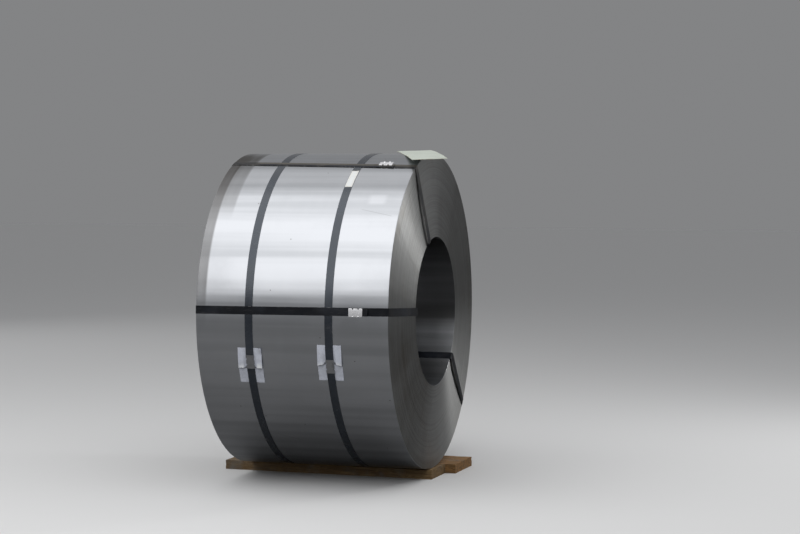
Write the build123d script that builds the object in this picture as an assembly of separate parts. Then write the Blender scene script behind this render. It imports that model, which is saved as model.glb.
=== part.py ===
from build123d import *
import os
from math import acos, atan2, cos, degrees, hypot, radians, sin, sqrt

# A strapped coil of steel strip, lying with its eye level on two boards.
# The eye runs along X, the side with the seals faces -Y and Z is up. The origin is on the floor,
# under the middle of the coil. Angles round the coil count up from its front, so 90 is the top.
# All sizes are in millimetres.

# the wound strip
outerDiameter = 1290.0
boreDiameter = 610.0
stripWidth = 783.0
telescope = 13.0            # how far the inner laps stand out of the right end, and into the left
telescopeCurve = 2.5        # 1 would be an even cone, and more keeps it near the bore
lapBands = 6                # groups of laps that show as rings on each end
lapStep = 0.8               # how far one group stands out from the next

# strapping
strapWidth = 32.0
strapThickness = 0.9
seatGap = 0.1               # between pieces that are pressed together
bellyLeftX = -173.0
bellyRightX = 153.0
bellyLeftSealAngle = -14.7
bellyRightSealAngle = -15.6
eyeFrontAngle = 3.4
eyeTopAngle = 68.0
eyeRearAngle = -138.5
eyeSealX = 262.0
eyeStandOff = 7.5           # how far an eye strap's bend stands off the edge of the bore
eyeBendRadius = 7.0
cutEnd = 12.0               # of a strap, past its seal
liftedEnd = 23.0            # the front strap's cut end, which is longer and curls up
liftedHeight = 9.0

# seals, folded round two layers of strap and notched
sealLength = 55.0
sealWall = 0.8
sealFold = 1.2              # outside radius of its folded edges
notchPitch = 22.0
notchLength = 8.0
notchTaper = 1.5            # how much each side of a notch leans in
notchDepth = 4.5

# creased sheets under the belly seals
padWidth = 98.0
padArc = 143.0
padThickness = 0.5
padLeftAngle = -16.1        # of the sheet's middle
padRightAngle = -14.4
creaseLeftAngle = -16.8
creaseRightAngle = -14.5
padFlare = 9.0              # how far the lips above the crease stand off the coil
padTuck = 4.0               # how far a lip folds back under itself
padSlit = 5.0               # from the strap's edge to a lip

# blank label on the right belly strap
labelLength = 117.0
labelWidth = 30.0
labelThickness = 0.3
labelAngle = 57.8

# stiff card lying on the top of the right end
cardLength = 420.0
cardWidth = 143.0
cardThickness = 2.0
cardX = 359.0
cardTilt = 5.2              # down towards the front
cardTurn = 114.5            # of its long side from the eye's direction

# boards
plankThickness = 38.0
plankFrontWidth = 184.0
plankRearWidth = 235.0
plankLength = 914.0
plankFrontEdge = -52.0      # of the front board, at the coil's middle
plankFrontEnd = 408.0       # right-hand end
plankRearEnd = 452.0
plankJoint = 0.3            # between the two boards
plankTurn = -2.5
plankArris = 1.5

outerRadius = outerDiameter / 2
boreRadius = boreDiameter / 2
strapSeat = outerRadius + seatGap
strapTop = strapSeat + strapThickness
axisHeight = plankThickness + seatGap + strapTop


def turned(shape, angle):
    """Takes a shape made at the top of the coil round its axis to an angle."""
    return Rot(X=90 - angle) * shape


def raised(shape):
    """Lifts a shape made round the coil's axis to where the coil lies."""
    return Pos(0, 0, axisHeight) * shape


def end_offset(radius):
    """How far the laps at a radius stand to the right, because the coil has telescoped."""
    depth = (outerRadius - radius) / (outerRadius - boreRadius)
    return telescope * depth**telescopeCurve


def lap_profile():
    """Half section of the coil, with every second band of laps a step further out."""
    band = (outerRadius - boreRadius) / lapBands
    right, left = [], []
    for number in range(lapBands):
        high = outerRadius - number * band
        low = high - band
        step = lapStep if number % 2 else 0.0
        for radius in (high, low):
            right.append((stripWidth / 2 + end_offset(radius) - step, radius))
            left.append((-stripWidth / 2 + end_offset(radius) + step, radius))
    return Plane.XZ * make_face(Polyline(*right, *reversed(left), close=True))


def coil():
    return revolve(lap_profile(), Axis.X)


def strap_band(path_face):
    """Strap of full width round a face that fills its inside."""
    ring = offset(path_face, amount=strapThickness) - path_face
    return extrude(ring, amount=strapWidth / 2, both=True)


def second_layer(seal_floor, start, end):
    """The overlapping end of a strap, lying on its first layer inside the seal."""
    height = seal_floor + sealWall + seatGap + strapThickness
    return Pos((start + end) / 2, 0, height) * Box(
        end - start, strapWidth, strapThickness, align=(Align.CENTER, Align.CENTER, Align.MIN)
    )


def notch_cutters(seal_floor):
    """Four tapered bites out of the edges of a seal and the strap inside it."""
    mouth = notchLength / 2
    root = mouth - notchTaper
    edge = strapWidth / 2 + 2 * sealWall
    bottom = strapWidth / 2 + sealWall - notchDepth
    bite = Polyline((-mouth, edge), (mouth, edge), (root, bottom), (-root, bottom), close=True)
    cutter = extrude(make_face(bite), amount=8 * strapThickness)
    cutter = Pos(0, 0, seal_floor - strapThickness) * cutter
    row = [Pos(side * notchPitch / 2, 0, 0) * cutter for side in (-1, 1)]
    return row + [mirror(piece, about=Plane.XZ) for piece in row]


def seal(seal_floor):
    """Sleeve folded round both layers, running along X at the top of the coil."""
    inside_height = 2 * strapThickness + 2 * seatGap
    inside = (strapWidth + 2 * seatGap, inside_height)
    outside = (inside[0] + 2 * sealWall, inside_height + 2 * sealWall)
    section = RectangleRounded(*outside, sealFold) - Rectangle(*inside)
    sleeve = extrude(Plane.YZ * section, amount=sealLength / 2, both=True)
    sleeve = Pos(0, 0, seal_floor + outside[1] / 2) * sleeve
    for cutter in notch_cutters(seal_floor):
        sleeve -= cutter
    return sleeve


# belly straps

padOuter = outerRadius + seatGap + padThickness
padHalfAngle = degrees(padArc / 2 / outerRadius)
bellySealFloor = padOuter + seatGap


def polar(radius, angle):
    """Point beside the top of the coil, at an angle from it towards the rear."""
    return (radius * sin(radians(angle)), radius * cos(radians(angle)))


def coil_arc(start, end):
    """The strap's long way round the coil, from behind the top to in front of it."""
    first = degrees(atan2(start.Y, start.X))
    last = degrees(atan2(end.Y, end.X))
    return CenterArc((0, 0), strapSeat, first, last - first - 360)


def pad_side(pad_edge):
    """One side of a belly strap's inside, from its seal over the pad's edge down to the coil."""
    over_pad = padOuter + seatGap
    seal_end = (sealLength / 2 + seatGap, bellySealFloor + sealWall + seatGap)
    meets_pad = degrees(atan2(*seal_end) + acos(over_pad / hypot(*seal_end)))
    lift_off = degrees(acos(strapSeat / over_pad))
    if pad_edge > meets_pad:
        lines = [
            Line(seal_end, polar(over_pad, meets_pad)),
            CenterArc((0, 0), over_pad, 90 - meets_pad, meets_pad - pad_edge),
        ]
    else:
        lines = [Line(seal_end, polar(over_pad, pad_edge))]
    return lines + [Line(polar(over_pad, pad_edge), polar(strapSeat, pad_edge + lift_off))]


def belly_path(pad_lead):
    """Inside of a belly strap: round the coil, over the pad and straight through the seal."""
    upper = pad_side(padHalfAngle + pad_lead)
    lower = [mirror(line, about=Plane.YZ) for line in pad_side(padHalfAngle - pad_lead)]
    ends = [upper[-1] @ 1, lower[-1] @ 1]
    under_seal = Line(upper[0] @ 0, lower[0] @ 0)
    return make_face([*upper, *lower, under_seal, coil_arc(*ends)])


def belly_strap(place, angle, pad_angle):
    band = strap_band(Plane.XZ * belly_path(pad_angle - angle))
    band += second_layer(bellySealFloor, -sealLength / 2 - cutEnd, sealLength / 2)
    for cutter in notch_cutters(bellySealFloor):
        band -= cutter
    return Pos(place, 0, 0) * turned(Rot(Z=90) * band, angle)


def belly_seal(place, angle):
    return Pos(place, 0, 0) * turned(Rot(Z=90) * seal(bellySealFloor), angle)


def curved_sheet(width, lower, upper):
    """Part of a pad that lies on the coil, between two angles round it."""
    section = Pos(0, padOuter - padThickness / 2) * Rectangle(width, padThickness)
    sheet = revolve(Plane.XZ * section, Axis.X, revolution_arc=upper - lower)
    return Rot(X=90 - upper) * sheet


def pad_lip(angle, crease, side):
    """Loose part of the upper leaf beside the strap, standing off the coil down to the crease."""
    middle = padOuter - padThickness / 2
    tuck = degrees(padTuck / outerRadius)
    bend = Polyline(
        polar(middle, angle + padHalfAngle - 90),
        polar(middle + padFlare, crease - 90),
        polar(middle, crease + tuck - 90),
    )
    inner_edge = strapWidth / 2 + padSlit
    width = padWidth / 2 - inner_edge
    lip = extrude(Plane.YZ * trace(bend, padThickness), amount=width)
    return Pos(inner_edge if side > 0 else -inner_edge - width, 0, 0) * lip


def seal_pad(place, angle, crease):
    """Creased sheet under a seal. It is pressed flat by the strap and below the crease."""
    upper, lower = angle + padHalfAngle, angle - padHalfAngle
    tuck = degrees(padTuck / outerRadius)
    sheet = curved_sheet(strapWidth + 2 * padSlit, lower, upper)
    sheet += curved_sheet(padWidth, lower, crease + tuck)
    sheet += curved_sheet(padWidth, upper - tuck, upper)
    for side in (-1, 1):
        sheet += pad_lip(angle, crease, side)
    return Pos(place, 0, 0) * sheet


# eye straps

eyeLift = strapTop + seatGap
eyeSealFloor = outerRadius + seatGap


def eye_path():
    """Inside of an eye strap: over both belly straps, down the ends and along the bore.
    It runs straight down the left end, where the inner laps are drawn in."""
    corner = stripWidth / 2 + seatGap
    run = sqrt((boreRadius - seatGap) ** 2 - (strapWidth / 2) ** 2)
    over_seal = max(eyeLift, eyeSealFloor + sealWall + seatGap)
    right_bend = stripWidth / 2 + telescope + eyeStandOff
    outline = Polyline(
        (-corner, strapSeat),
        (bellyLeftX - strapWidth / 2, eyeLift),
        (eyeSealX + sealLength / 2, over_seal),
        (corner, strapSeat),
        (right_bend, run),
        (-corner, run),
        close=True,
    )
    face = make_face(outline)
    return fillet([v for v in face.vertices() if v.Y < boreRadius], eyeBendRadius)


def lifted_end(start):
    """Cut end of the front strap past its seal, curling off the coil."""
    height = eyeSealFloor + sealWall + seatGap + 1.5 * strapThickness
    rise = Polyline((start, height), (start + liftedEnd, height + liftedHeight))
    return extrude(Plane.XZ * trace(rise, strapThickness), amount=strapWidth / 2, both=True)


def eye_strap(angle, lifted=False):
    band = strap_band(Plane.XZ * eye_path())
    seal_half = sealLength / 2
    overrun = strapThickness if lifted else cutEnd
    layer = second_layer(eyeSealFloor, -seal_half, seal_half + overrun)
    if lifted:
        layer += lifted_end(seal_half + overrun / 2)
    band += Pos(eyeSealX, 0, 0) * layer
    for cutter in notch_cutters(eyeSealFloor):
        band -= Pos(eyeSealX, 0, 0) * cutter
    return turned(band, angle)


def eye_seal(angle):
    return turned(Pos(eyeSealX, 0, 0) * seal(eyeSealFloor), angle)


def strap_label():
    """Blank label stuck on the right belly strap."""
    inner = strapTop + seatGap
    half = degrees(labelLength / 2 / inner)
    section = Pos(bellyRightX, inner + labelThickness / 2) * Rectangle(labelWidth, labelThickness)
    sheet = revolve(Plane.XZ * section, Axis.X, revolution_arc=2 * half)
    return turned(Rot(X=-half) * sheet, labelAngle)


def edge_card():
    """Flat card that touches the coil along one line and stands off it elsewhere."""
    card = Rot(Z=cardTurn) * Box(
        cardLength, cardWidth, cardThickness, align=(Align.CENTER, Align.CENTER, Align.MIN)
    )
    return turned(Pos(cardX, 0, outerRadius + seatGap) * card, 90 - cardTilt)


def plank(width, front_edge, right_end):
    """Board lying along the eye, turned a little as it was laid."""
    board = Pos(right_end - plankLength / 2, front_edge + width / 2, 0) * Box(
        plankLength, width, plankThickness, align=(Align.CENTER, Align.CENTER, Align.MIN)
    )
    board = chamfer(board.edges(), plankArris)
    return Rot(Z=plankTurn) * board


planks = {
    "plank_front": plank(plankFrontWidth, plankFrontEdge, plankFrontEnd),
    "plank_rear": plank(
        plankRearWidth, plankFrontEdge + plankFrontWidth + plankJoint, plankRearEnd
    ),
}
round_coil = {
    "coil": coil(),
    "belly_strap_left": belly_strap(bellyLeftX, bellyLeftSealAngle, padLeftAngle),
    "belly_strap_right": belly_strap(bellyRightX, bellyRightSealAngle, padRightAngle),
    "belly_seal_left": belly_seal(bellyLeftX, bellyLeftSealAngle),
    "belly_seal_right": belly_seal(bellyRightX, bellyRightSealAngle),
    "seal_pad_left": seal_pad(bellyLeftX, padLeftAngle, creaseLeftAngle),
    "seal_pad_right": seal_pad(bellyRightX, padRightAngle, creaseRightAngle),
    "eye_strap_front": eye_strap(eyeFrontAngle, lifted=True),
    "eye_strap_top": eye_strap(eyeTopAngle),
    "eye_strap_rear": eye_strap(eyeRearAngle),
    "eye_seal_front": eye_seal(eyeFrontAngle),
    "eye_seal_top": eye_seal(eyeTopAngle),
    "eye_seal_rear": eye_seal(eyeRearAngle),
    "strap_label": strap_label(),
    "edge_card": edge_card(),
}

os.makedirs("parts", exist_ok=True)
for name, shape in round_coil.items():
    export_step(raised(shape), f"parts/{name}.step")
for name, shape in planks.items():
    export_step(shape, f"parts/{name}.step")
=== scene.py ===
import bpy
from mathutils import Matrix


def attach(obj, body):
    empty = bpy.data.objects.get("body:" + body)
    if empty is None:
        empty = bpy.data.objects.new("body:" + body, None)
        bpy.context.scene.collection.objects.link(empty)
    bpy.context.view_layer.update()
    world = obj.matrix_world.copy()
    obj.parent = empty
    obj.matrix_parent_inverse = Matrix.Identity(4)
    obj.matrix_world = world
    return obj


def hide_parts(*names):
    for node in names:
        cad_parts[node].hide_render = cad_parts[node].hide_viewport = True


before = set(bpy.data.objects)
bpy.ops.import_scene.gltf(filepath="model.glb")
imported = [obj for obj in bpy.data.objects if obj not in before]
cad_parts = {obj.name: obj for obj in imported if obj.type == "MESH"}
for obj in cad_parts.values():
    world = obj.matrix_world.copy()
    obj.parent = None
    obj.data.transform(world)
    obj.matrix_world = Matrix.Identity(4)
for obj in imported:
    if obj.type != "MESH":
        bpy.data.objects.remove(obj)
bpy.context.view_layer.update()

import random
from math import atan2, cos, degrees, hypot, pi, radians, sin, sqrt

import bpy
from mathutils import Vector, noise

# A strapped coil of cold rolled strip on two boards. Metres throughout, in the frame of the CAD model:
# the eye runs along X, the seals face -Y, and angles round the coil count up from its front.
random.seed(7)


# ---- working in edit mode

def backToObject():
    bpy.ops.object.mode_set(mode="OBJECT")


def activate(piece):
    if bpy.context.mode != "OBJECT":
        backToObject()
    bpy.ops.object.select_all(action="DESELECT")
    piece.select_set(True)
    bpy.context.view_layer.objects.active = piece


def pick(piece, test, kind):  # into edit mode, with the faces, edges or vertices that pass a test
    activate(piece)
    mesh = piece.data
    bpy.ops.object.mode_set(mode="EDIT")
    bpy.ops.mesh.select_mode(type=kind)
    bpy.ops.mesh.select_all(action="DESELECT")
    backToObject()
    if kind == "FACE":
        for face in mesh.polygons:
            face.select = test(face.center, face.normal)
    elif kind == "EDGE":
        for edge in mesh.edges:
            first, last = (mesh.vertices[v].co for v in edge.vertices)
            edge.select = test(first, last)
    else:
        for vertex in mesh.vertices:
            vertex.select = test(vertex.co)
    bpy.ops.object.mode_set(mode="EDIT")


def edit(piece, test, kind, operator, **values):  # one operator on the parts that pass a test
    pick(piece, test, kind)
    operator(**values)
    backToObject()


def applyPlace():  # writes an object's place, turn and scale into its mesh
    bpy.ops.object.transform_apply(location=True, rotation=True, scale=True)


def subdivideWhere(piece, test, cuts):
    edit(piece, test, "EDGE", bpy.ops.mesh.subdivide, number_cuts=cuts)


def block(name, size, centre):  # a cube primitive at its size and place
    bpy.ops.mesh.primitive_cube_add(size=1, location=centre)
    piece = bpy.context.object
    piece.name = name
    piece.scale = size
    applyPlace()
    return piece


def gridSheet(name, width, length, across, along):  # flat, in X and Y
    bpy.ops.mesh.primitive_grid_add(x_subdivisions=across, y_subdivisions=along, size=1)
    piece = bpy.context.object
    piece.name = name
    piece.scale = (width, length, 1)
    applyPlace()
    return piece


def drawChain(name, points):  # a line of edges in the XZ plane, drawn by extruding one vertex
    bpy.ops.mesh.primitive_plane_add(size=0.01, location=(0, 0, 0))
    piece = bpy.context.object
    piece.name = name
    bpy.ops.object.mode_set(mode="EDIT")
    bpy.ops.mesh.select_mode(type="VERT")
    bpy.ops.mesh.select_all(action="SELECT")
    bpy.ops.mesh.merge(type="CENTER")
    last = Vector((0, 0, 0))
    for number, (x, z) in enumerate(points):
        here = Vector((x, 0, z))
        if number == 0:
            bpy.ops.transform.translate(value=here)
        else:
            bpy.ops.mesh.extrude_vertices_move(TRANSFORM_OT_translate={"value": here - last})
        last = here
    backToObject()
    return piece


def modify(piece, kind, **values):  # adds a modifier and applies it
    activate(piece)
    modifier = piece.modifiers.new(kind.title(), kind)
    for key, value in values.items():
        setattr(modifier, key, value)
    bpy.ops.object.modifier_apply(modifier=modifier.name)


def joinPieces(pieces):
    activate(pieces[0])
    for other in pieces[1:]:
        other.select_set(True)
    bpy.ops.object.join()
    return bpy.context.object


def moveVertices(piece, rule):  # rule takes a vertex place and gives its new one
    for vertex in piece.data.vertices:
        vertex.co = rule(vertex.co)
    piece.data.update()


def store(piece, name, rule):  # a number on each vertex, which the materials read by name
    layer = piece.data.attributes.new(name, "FLOAT", "POINT")
    layer.data.foreach_set("value", [rule(vertex.co) for vertex in piece.data.vertices])


def storeEdge(piece, sheet):  # 1 at the edges of a flat sheet along X and Y, 0 in its middle
    store(piece, "edge", lambda co: max(abs(co.x / sheet[0]), abs(co.y / sheet[1])) * 2)


def closeShell(piece):
    pick(piece, lambda co: True, "VERT")
    bpy.ops.mesh.remove_doubles(threshold=0.00001)
    bpy.ops.mesh.normals_make_consistent(inside=False)
    backToObject()


def ripple(x, y, z):  # smooth noise, from about -1 to 1
    return noise.noise(Vector((x, y, z)))


def ease(value, low, high):  # 0 below low, 1 above high, smooth between
    share = min(max((value - low) / (high - low), 0.0), 1.0)
    return share * share * (3 - 2 * share)


def alongKnots(value, knots):  # straight between the knots, level past their ends
    for (start, low), (end, high) in zip(knots, knots[1:]):
        if value <= end:
            return low + (high - low) * min(max((value - start) / (end - start), 0.0), 1.0)
    return knots[-1][1]


def finishPiece(piece, node, materials, smooth=30):
    activate(piece)
    piece.data.materials.clear()
    for material in materials:
        piece.data.materials.append(material)
    bpy.ops.object.shade_smooth_by_angle(angle=radians(smooth))
    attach(piece, "root")
    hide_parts(node)
    print("made", piece.name, len(piece.data.polygons), "faces")


# ---- the shape that everything else is laid on

coil = {
    "outside": 0.645,        # radius
    "bore": 0.305,
    "width": 0.783,
    "axisHeight": 0.6841,
    "telescope": 0.013,      # how far the inner laps stand out of the right end
    "telescopeCurve": 2.5,
    "laps": 104,
    "slit": 0.0005,          # between two laps, at the ends
    "slitDepth": 0.0005,
    "jitter": 0.00007,       # of one lap's edge
    "drift": 0.00025,        # of a group of laps
    "edge": 0.0012,          # the outermost lap's worn edge
    "turns": 150,            # steps round
    "strip": 0.0008,         # its thickness, which shows where it ends
    "innerEnd": 93,          # angle of the innermost lap's end, which has sprung off the bore
    "innerEndRise": 0.0045,
    "innerEndReach": 42,     # degrees that it takes to lie back
    "innerEndInset": 0.001,  # from each edge of the strip
    "innerEndSlip": 0.0015,  # along the eye
    "innerEndGap": 0.0001,
    "innerEndRipple": 0.3,   # share of its rise
    "outerEnd": -117,        # angle of the outermost lap's end
    "outerEndReach": 50,
    "outerEndWidth": 0.05,   # degrees from its middle to the rows beside it
}


halfCoil = coil["width"] / 2


def endOffset(radius):
    depth = (coil["outside"] - radius) / (coil["outside"] - coil["bore"])
    return coil["telescope"] * max(depth, 0.0) ** coil["telescopeCurve"]


def layOnCoil(piece, angle, along=0.0):  # takes a piece made over the origin's top to its place on the coil
    activate(piece)
    piece.rotation_euler.x = radians(90 - angle)
    piece.location = (along, 0, coil["axisHeight"])
    applyPlace()


def wrapRound(piece):  # rolls a flat piece round the coil: its Y runs round, its Z stands off
    def roll(co):
        angle, radius = co.y / coil["outside"], coil["outside"] + co.z
        return Vector((co.x, radius * sin(angle), radius * cos(angle)))

    moveVertices(piece, roll)


# ---- shader parts, which go into the tree that newGroup or newMaterial started last

tree = None


def fill(node, inputs):  # with links or plain values
    for key, value in inputs.items():
        if isinstance(value, bpy.types.NodeSocket):
            tree.links.new(value, node.inputs[key])
        else:
            node.inputs[key].default_value = value


def addNode(kind, inputs=None, **settings):
    node = tree.nodes.new("ShaderNode" + kind)
    for key, value in settings.items():
        setattr(node, key, value)
    fill(node, inputs or {})
    return node


def calc(operation, first, second=0.0):
    return addNode("Math", {0: first, 1: second}, operation=operation).outputs[0]


def spread(value, low, high, toLow=0.0, toHigh=1.0):
    names = {"Value": value, "From Min": low, "From Max": high, "To Min": toLow, "To Max": toHigh}
    return addNode("MapRange", names, interpolation_type="SMOOTHSTEP").outputs[0]


def times(first, second):
    return calc("MULTIPLY", first, second)


def plus(first, second):
    return calc("ADD", first, second)


def mix(share, first, second):
    return addNode("Mix", {0: share, 6: first, 7: second}, data_type="RGBA").outputs[2]


def tint(colour, finish, *layers):  # each layer is its share and the name of its colour
    for share, other in layers:
        colour = mix(share, colour, finish[other])
    return colour


def noiseAt(vector, pattern, output="Fac"):  # a pattern is its fineness along each axis, detail, roughness
    mapped = addNode("Mapping", {"Vector": vector, "Scale": pattern[:3]}).outputs[0]
    names = {"Vector": mapped, "Scale": 1.0, "Detail": pattern[3], "Roughness": pattern[4]}
    return addNode("TexNoise", names).outputs[output]


def newGroup(name, inputs, outputs):  # inputs have their first values, or None where a place goes in
    global tree
    tree = group = bpy.data.node_groups.new(name, "ShaderNodeTree")
    for label, value in inputs.items():
        kind = "NodeSocketVector" if value is None else "NodeSocketFloat"
        socket = group.interface.new_socket(label, in_out="INPUT", socket_type=kind)
        if value is not None:
            socket.default_value = value
    for label in outputs:
        group.interface.new_socket(label, in_out="OUTPUT", socket_type="NodeSocketFloat")
    return group, group.nodes.new("NodeGroupInput").outputs, group.nodes.new("NodeGroupOutput").inputs


def useGroup(group, inputs):
    return addNode("Group", inputs, node_tree=group).outputs


def newMaterial(name):  # an empty material with its shader, and the piece's own coordinates
    global tree
    material = bpy.data.materials.new(name)
    material.use_nodes = True
    tree = material.node_tree
    tree.nodes.clear()
    shader = addNode("BsdfPrincipled")
    addNode("OutputMaterial", {"Surface": shader.outputs[0]})
    place = addNode("TexCoord").outputs["Object"]
    return material, shader, place


def bump(*layers):  # each layer is a height, its strength and its distance
    normal = None
    for height, strength, distance in layers:
        names = {"Height": height, "Strength": strength, "Distance": distance}
        if normal is not None:
            names["Normal"] = normal
        normal = addNode("Bump", names).outputs[0]
    return normal


def stored(name):  # a number that the piece keeps on its vertices
    return addNode("Attribute", attribute_name=name).outputs["Fac"]


# where a point lies on the coil: a direction round the eye that has no seam, and the strip unrolled
coilPlace, groupIn, groupOut = newGroup(
    "coilPlace", {"Vector": None, "Axis Height": coil["axisHeight"], "Outside": coil["outside"]},
    ["Along", "Sideways", "Upwards", "Radius", "Unrolled"])
parts = addNode("SeparateXYZ", {0: groupIn["Vector"]}).outputs
lifted = calc("SUBTRACT", parts["Z"], groupIn["Axis Height"])
squares = times(parts["Y"], parts["Y"]), times(lifted, lifted)
radius = calc("SQRT", plus(*squares))
turnBack = calc("ARCTAN2", times(parts["Y"], -1.0), lifted)
for label, value in (("Along", parts["X"]), ("Sideways", calc("DIVIDE", parts["Y"], radius)),
                     ("Upwards", calc("DIVIDE", lifted, radius)), ("Radius", radius),
                     ("Unrolled", times(turnBack, groupIn["Outside"]))):
    coilPlace.links.new(value, groupOut[label])


def combine(x, y, z=0.0):
    return addNode("CombineXYZ", {0: x, 1: y, 2: z}).outputs[0]


def onCoil(place):
    found = useGroup(coilPlace, {"Vector": place})
    facing = (found["Sideways"], found["Upwards"])
    path = plus(found["Along"], found["Radius"])
    return {
        "along": combine(found["Along"], *facing),
        "outwards": combine(found["Radius"], *facing),
        "sheet": combine(found["Along"], found["Unrolled"]),
        "path": combine(path, found["Unrolled"]),
        "alongEye": found["Along"],
        "radius": found["Radius"],
        "upwards": found["Upwards"],
    }


# cloudy dirt, from 0 to Amount
grime, groupIn, groupOut = newGroup("grime", {"Vector": None, "Scale": 8.0, "Amount": 0.5}, ["Mask"])
clouds = addNode("TexNoise", {"Vector": groupIn["Vector"], "Scale": groupIn["Scale"],
                              "Detail": 6.0, "Roughness": 0.62}).outputs["Fac"]
grime.links.new(times(spread(clouds, 0.46, 0.72), groupIn["Amount"]), groupOut["Mask"])

# thin straight scratches on an unrolled surface, few and short
scratches, groupIn, groupOut = newGroup(
    "scratches", {"Vector": None, "Scale": 4.0, "Turn": 0.3, "Amount": 0.5}, ["Mask"])
turnedPlace = addNode("VectorRotate", {"Vector": groupIn["Vector"], "Angle": groupIn["Turn"]},
                      rotation_type="Z_AXIS").outputs[0]
drawn = addNode("Mapping", {"Vector": turnedPlace, "Scale": (1, 40, 1)}).outputs[0]
cells = addNode("TexVoronoi", {"Vector": drawn, "Scale": groupIn["Scale"]},
                voronoi_dimensions="2D").outputs["Distance"]
chosen = addNode("TexNoise", {"Vector": groupIn["Vector"], "Scale": groupIn["Scale"],
                              "Detail": 1.0}).outputs["Fac"]
few = times(spread(cells, 0.05, 0.1, 1.0, 0.0), spread(chosen, 0.5, 0.62))
scratches.links.new(times(few, groupIn["Amount"]), groupOut["Mask"])

# one soft-edged mark at a given place on an unrolled surface
patch, groupIn, groupOut = newGroup(
    "patch", {"Vector": None, "Centre": None, "Turn": 0.0, "Half Length": 0.1, "Half Width": 0.1,
              "Soft Ends": 0.01, "Soft Sides": 0.01}, ["Mask"])
away = addNode("VectorMath", {0: groupIn["Vector"], 1: groupIn["Centre"]}, operation="SUBTRACT").outputs[0]
away = addNode("VectorRotate", {"Vector": away, "Angle": groupIn["Turn"]}, rotation_type="Z_AXIS").outputs[0]
away = addNode("SeparateXYZ", {0: away}).outputs
inside = []
for axis, half, soft in (("X", "Half Length", "Soft Ends"), ("Y", "Half Width", "Soft Sides")):
    past = calc("SUBTRACT", calc("ABSOLUTE", away[axis]), groupIn[half])
    inside.append(spread(calc("DIVIDE", past, groupIn[soft]), -0.5, 0.5, 1.0, 0.0))
patch.links.new(times(*inside), groupOut["Mask"])

# paint or zinc rubbed off along an edge; Edge is 1 at the edge itself
edgeWear, groupIn, groupOut = newGroup(
    "edgeWear", {"Edge": 0.0, "Vector": None, "Scale": 90.0, "Start": 0.9}, ["Mask"])
patchy = addNode("TexNoise", {"Vector": groupIn["Vector"], "Scale": groupIn["Scale"],
                              "Detail": 4.0}).outputs["Fac"]
ragged = times(calc("SUBTRACT", patchy, 0.5), 0.35)
edgeWear.links.new(spread(plus(groupIn["Edge"], ragged), groupIn["Start"], 1.05), groupOut["Mask"])


def dirtAt(place, scale, amount):
    return useGroup(grime, {"Vector": place, "Scale": scale, "Amount": amount})["Mask"]


def wornAt(edge, place, scale, start):
    return useGroup(edgeWear, {"Edge": edge, "Vector": place, "Scale": scale, "Start": start})["Mask"]


def markAt(sheet, along, angle, half, soft, turn=0.0):  # half its size and its softness, along and round
    down = radians(90 - angle) * coil["outside"]  # the strip is unrolled from the top
    names = {"Vector": sheet, "Centre": (along, down, 0), "Turn": radians(turn), "Half Length": half[0],
             "Half Width": half[1], "Soft Ends": soft[0], "Soft Sides": soft[1]}
    return useGroup(patch, names)["Mask"]


# ---- the wound strip

stripFinish = {
    "colour": (0.57, 0.583, 0.61, 1),
    # painted reflection: colour bands round the coil stand in for bands of reflected light; dirt darkens with
    # the same colour
    "reflectionBandAndDirtColour": (0.44, 0.453, 0.475, 1),
    "streakColour": (0.64, 0.65, 0.68, 1),
    # oil stains, and painted shade
    "oilAndShadeColour": (0.10, 0.094, 0.088, 1),
    # painted shade in the bore
    "boreShadeColour": (0.11, 0.106, 0.10, 1),
    "speckColour": (0.10, 0.09, 0.085, 1),
    "roughness": (0.285, 0.315),
    "anisotropy": 0.6,
    "bands": (0.35, 9.0, 9.0, 3.0, 0.5),  # patterns: fineness along each axis, detail, roughness
    "waves": (0.8, 3.0, 3.0, 2.0, 0.5),
    "streaks": (14.0, 1.2, 1.2, 2.0, 0.5),
    "dirt": (3.0, 0.3),      # scale and amount
    "speckScale": 3.6,
    "speckSize": (0.004, 0.010),
    "boreEdge": (0.002, 0.02),
    "oilAndShadeMarks": (            # along the eye, angle, half length, half width, softness each way, strength
        # the first five are painted shade, a dark stepped band at the top of the left end; the last two are
        # oil stains
        (-0.382, 42, 0.030, 0.42, 0.010, 0.20, 0.62),
        (-0.382, 68, 0.031, 0.24, 0.012, 0.34, 0.28),
        (-0.3215, 62, 0.0295, 0.23, 0.012, 0.14, 0.44),
        (-0.3255, 70, 0.0300, 0.12, 0.020, 0.16, 0.28),
        (-0.343, 82, 0.052, 0.13, 0.010, 0.05, 0.40),
        (0.10, -108, 0.25, 0.05, 0.08, 0.08, 0.3),
        (-0.20, 140, 0.05, 0.12, 0.09, 0.09, 0.25),
    ),
    "paleMarks": (
        (0.291, 46.3, 0.033, 0.025, 0.026, 0.020, 0.45),
        (0.05, 128, 0.06, 0.03, 0.03, 0.03, 0.4),
    ),
    "scratches": (           # along the eye, angle, turn, half length, half width
        (0.3015, 40.1, -14, 0.066, 0.0005),
        (-0.06, 117, 24, 0.090, 0.0005),
        (-0.29, 163, -9, 0.060, 0.0004),
        (0.27, 205, 15, 0.075, 0.0005),
        (-0.08, -48, -21, 0.050, 0.0004),
    ),
}
lapFinish = {
    "colour": (0.33, 0.332, 0.328, 1),
    "darkLap": (0.205, 0.204, 0.195, 1),
    "stain": (0.18, 0.16, 0.13, 1),
    "roughness": (0.38, 0.46),
    "anisotropy": 0.88,
    "rings": (170.0, 0.5, 0.5, 2.0, 0.5),
    "fineRings": (900.0, 0.5, 0.5, 1.0, 0.5),
    "wideRings": (14.0, 0.9, 0.9, 2.0, 0.5),
    "fans": (2.0, 3.5, 3.5, 3.0, 0.5),
    "rays": (5.0, 22.0, 22.0, 3.0, 0.5),
    "dirt": (4.0, 0.5),
}
acrossGrain = 0.25           # a quarter turn: gloss spreads across the rolling marks


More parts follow.
